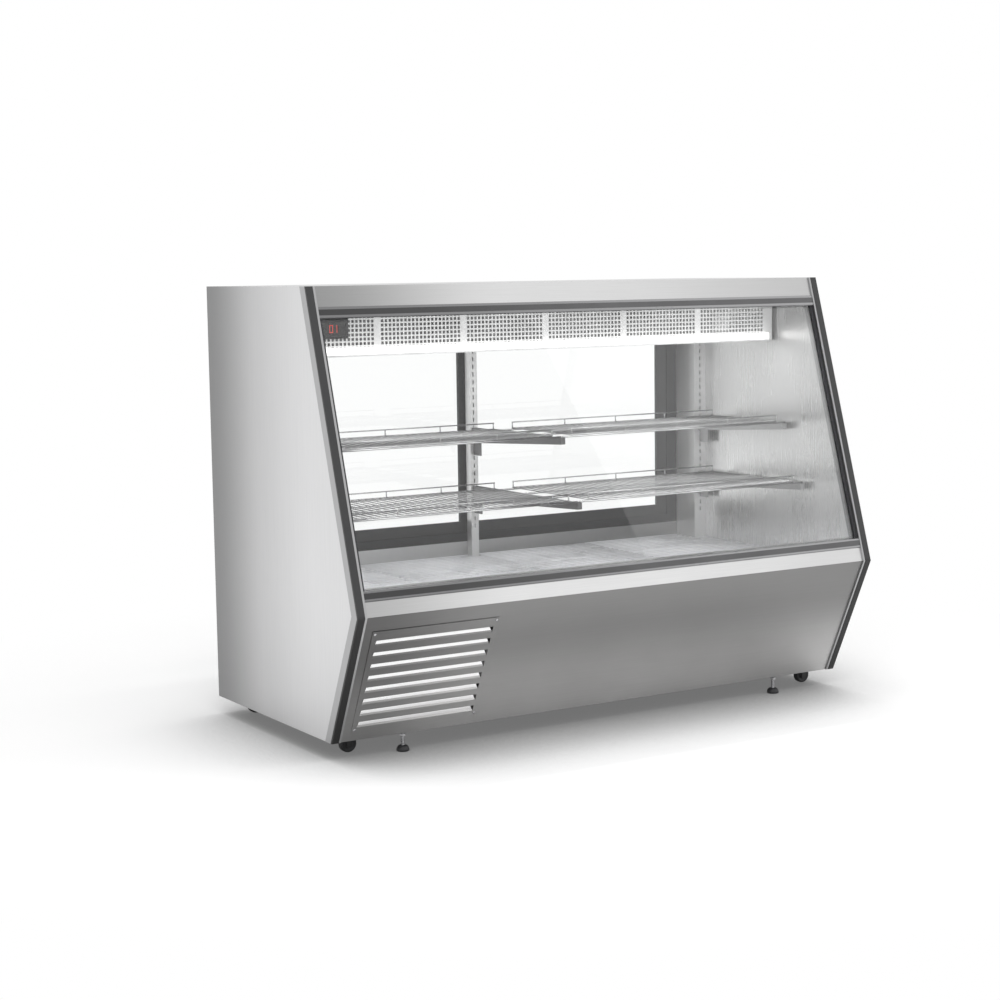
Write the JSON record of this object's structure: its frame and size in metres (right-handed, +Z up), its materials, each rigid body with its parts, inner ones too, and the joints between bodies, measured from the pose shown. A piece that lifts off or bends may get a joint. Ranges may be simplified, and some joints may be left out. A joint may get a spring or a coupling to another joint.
{
  "type": "refrigerated deli display case",
  "caption": "Refrigerated deli display case on castors, with a slanted glass front, wire shelves under a lit evaporator cover, and sliding rear doors.",
  "frame": {"origin": "on the floor, under the middle of the case", "axes": "+X along the case to the customer's right, +Y from the customer's side to the back, +Z up"},
  "size_m": [1.83, 0.96, 1.327],
  "materials": {
    "stainless": "brushed satin stainless sheet",
    "stainless_trim": "satin folded stainless trim",
    "rail_metal": "anodised extrusion",
    "bumper": "matt black rubber strip",
    "black_insert": "matt black plastic strip",
    "seal": "matt black gasket",
    "glass": "clear toughened glass",
    "door_glass": "clear toughened glass",
    "dark_frame": "dark anodised aluminium",
    "post_metal": "satin slotted post",
    "white_sheet": "gloss white powder coat",
    "white_wire": "gloss white coated wire",
    "shelf_wire": "bright plated wire",
    "louvre_steel": "pressed satin steel",
    "screw_steel": "zinc plated",
    "zinc": "zinc plated steel",
    "galvanised": "galvanised sheet",
    "fin_pack": "fins on copper tube",
    "copper": "copper tube",
    "compressor_black": "black enamel",
    "fan_plastic": "moulded fan",
    "motor_case": "grey enamel",
    "lamp": "frosted lit cover",
    "controller_black": "gloss black bezel",
    "box_grey": "moulded box",
    "tyre": "solid rubber tyre",
    "foot_plastic": "moulded pad on a steel stud"
  },
  "bodies": {
    "case": {"end_panel_left": "stainless", "end_panel_right": "stainless", "edge_trim_left": "stainless_trim", "edge_trim_right": "stainless_trim", "bumper_strip_left": "bumper", "bumper_strip_right": "bumper", "top_panel": "stainless", "canopy_fascia": "stainless_trim", "glass_rails": "rail_metal", "rail_inserts": "black_insert", "front_glass": "glass", "side_seals": "seal", "side_channels": "rail_metal", "front_sill": "stainless_trim", "lower_front_panel": "stainless", "louvre_panel": "louvre_steel", "louvre_screws": "screw_steel", "well": "white_sheet", "rear_frame": "dark_frame", "centre_post": "post_metal", "corner_posts": "post_metal", "shelf_brackets": "post_metal", "evaporator_cover": "white_sheet", "evaporator_coil": "fin_pack", "evaporator_motors": "motor_case", "light_housing": "rail_metal", "light_diffuser": "lamp", "controller": "controller_black", "base_frame": "galvanised", "compressor": "compressor_black", "condenser_coil": "fin_pack", "condenser_shroud": "galvanised", "electrical_box": "box_grey", "rear_vent_panel": "stainless", "refrigerant_lines": "copper"},
    "door_left": {"door_left_frame": "dark_frame", "door_left_glass": "door_glass"},
    "door_right": {"door_right_frame": "dark_frame", "door_right_glass": "door_glass"},
    "fork_front_left": {"castor_fork_front_left": "zinc"},
    "wheel_front_left": {"castor_wheel_front_left": "tyre"},
    "fork_front_right": {"castor_fork_front_right": "zinc"},
    "wheel_front_right": {"castor_wheel_front_right": "tyre"},
    "fork_rear_left": {"castor_fork_rear_left": "zinc"},
    "wheel_rear_left": {"castor_wheel_rear_left": "tyre"},
    "fork_rear_right": {"castor_fork_rear_right": "zinc"},
    "wheel_rear_right": {"castor_wheel_rear_right": "tyre"},
    "foot_left": {"levelling_foot_left": "foot_plastic"},
    "foot_right": {"levelling_foot_right": "foot_plastic"},
    "evaporator_fan_left": {"evaporator_fan_left": "fan_plastic"},
    "evaporator_fan_right": {"evaporator_fan_right": "fan_plastic"},
    "condenser_fan": {"condenser_fan": "fan_plastic"},
    "shelf_upper_left": {"shelf_upper_left": "shelf_wire"},
    "shelf_upper_right": {"shelf_upper_right": "shelf_wire"},
    "shelf_lower_left": {"shelf_lower_left": "shelf_wire"},
    "shelf_lower_right": {"shelf_lower_right": "shelf_wire"},
    "deck_rack_1": {"deck_rack_1": "white_wire"},
    "deck_rack_2": {"deck_rack_2": "white_wire"},
    "deck_rack_3": {"deck_rack_3": "white_wire"},
    "deck_rack_4": {"deck_rack_4": "white_wire"}
  },
  "joints": [
    {"name": "door_left_slide", "type": "slide", "parent": "case", "child": "door_left", "axis": [1, 0, 0], "range_m": [0, 0.785]},
    {"name": "door_right_slide", "type": "slide", "parent": "case", "child": "door_right", "axis": [-1, 0, 0], "range_m": [0, 0.775]},
    {"name": "swivel_front_left", "type": "hinge", "parent": "case", "child": "fork_front_left", "pos_m": [-0.84, -0.203, 0.075], "axis": [0, 0, 1], "continuous": true},
    {"name": "roll_front_left", "type": "hinge", "parent": "fork_front_left", "child": "wheel_front_left", "pos_m": [-0.816, -0.203, 0.025], "axis": [0, 1, 0], "continuous": true},
    {"name": "swivel_front_right", "type": "hinge", "parent": "case", "child": "fork_front_right", "pos_m": [0.84, -0.203, 0.075], "axis": [0, 0, 1], "continuous": true},
    {"name": "roll_front_right", "type": "hinge", "parent": "fork_front_right", "child": "wheel_front_right", "pos_m": [0.864, -0.203, 0.025], "axis": [0, 1, 0], "continuous": true},
    {"name": "swivel_rear_left", "type": "hinge", "parent": "case", "child": "fork_rear_left", "pos_m": [-0.84, 0.425, 0.075], "axis": [0, 0, 1], "continuous": true},
    {"name": "roll_rear_left", "type": "hinge", "parent": "fork_rear_left", "child": "wheel_rear_left", "pos_m": [-0.816, 0.425, 0.025], "axis": [0, 1, 0], "continuous": true},
    {"name": "swivel_rear_right", "type": "hinge", "parent": "case", "child": "fork_rear_right", "pos_m": [0.84, 0.425, 0.075], "axis": [0, 0, 1], "continuous": true},
    {"name": "roll_rear_right", "type": "hinge", "parent": "fork_rear_right", "child": "wheel_rear_right", "pos_m": [0.864, 0.425, 0.025], "axis": [0, 1, 0], "continuous": true},
    {"name": "foot_screw_left", "type": "slide", "parent": "case", "child": "foot_left", "axis": [0, 0, 1], "range_m": [0, 0.016]},
    {"name": "foot_screw_right", "type": "slide", "parent": "case", "child": "foot_right", "axis": [0, 0, 1], "range_m": [0, 0.016]},
    {"name": "evaporator_fan_spin_left", "type": "hinge", "parent": "case", "child": "evaporator_fan_left", "pos_m": [-0.35, 0.009, 1.212], "axis": [0, 1, 0], "continuous": true},
    {"name": "evaporator_fan_spin_right", "type": "hinge", "parent": "case", "child": "evaporator_fan_right", "pos_m": [0.35, 0.009, 1.212], "axis": [0, 1, 0], "continuous": true},
    {"name": "condenser_fan_spin", "type": "hinge", "parent": "case", "child": "condenser_fan", "pos_m": [-0.656, -0.212, 0.2185], "axis": [0, 1, 0], "continuous": true},
    {"name": "shelf_upper_left_lift", "type": "slide", "parent": "case", "child": "shelf_upper_left", "axis": [0, 0, 1], "range_m": [0, 0.06]},
    {"name": "shelf_upper_right_lift", "type": "slide", "parent": "case", "child": "shelf_upper_right", "axis": [0, 0, 1], "range_m": [0, 0.06]},
    {"name": "shelf_lower_left_lift", "type": "slide", "parent": "case", "child": "shelf_lower_left", "axis": [0, 0, 1], "range_m": [0, 0.06]},
    {"name": "shelf_lower_right_lift", "type": "slide", "parent": "case", "child": "shelf_lower_right", "axis": [0, 0, 1], "range_m": [0, 0.06]},
    {"name": "deck_rack_1_lift", "type": "slide", "parent": "case", "child": "deck_rack_1", "axis": [0, 0, 1], "range_m": [0, 0.04]},
    {"name": "deck_rack_2_lift", "type": "slide", "parent": "case", "child": "deck_rack_2", "axis": [0, 0, 1], "range_m": [0, 0.04]},
    {"name": "deck_rack_3_lift", "type": "slide", "parent": "case", "child": "deck_rack_3", "axis": [0, 0, 1], "range_m": [0, 0.04]},
    {"name": "deck_rack_4_lift", "type": "slide", "parent": "case", "child": "deck_rack_4", "axis": [0, 0, 1], "range_m": [0, 0.04]}
  ]
}
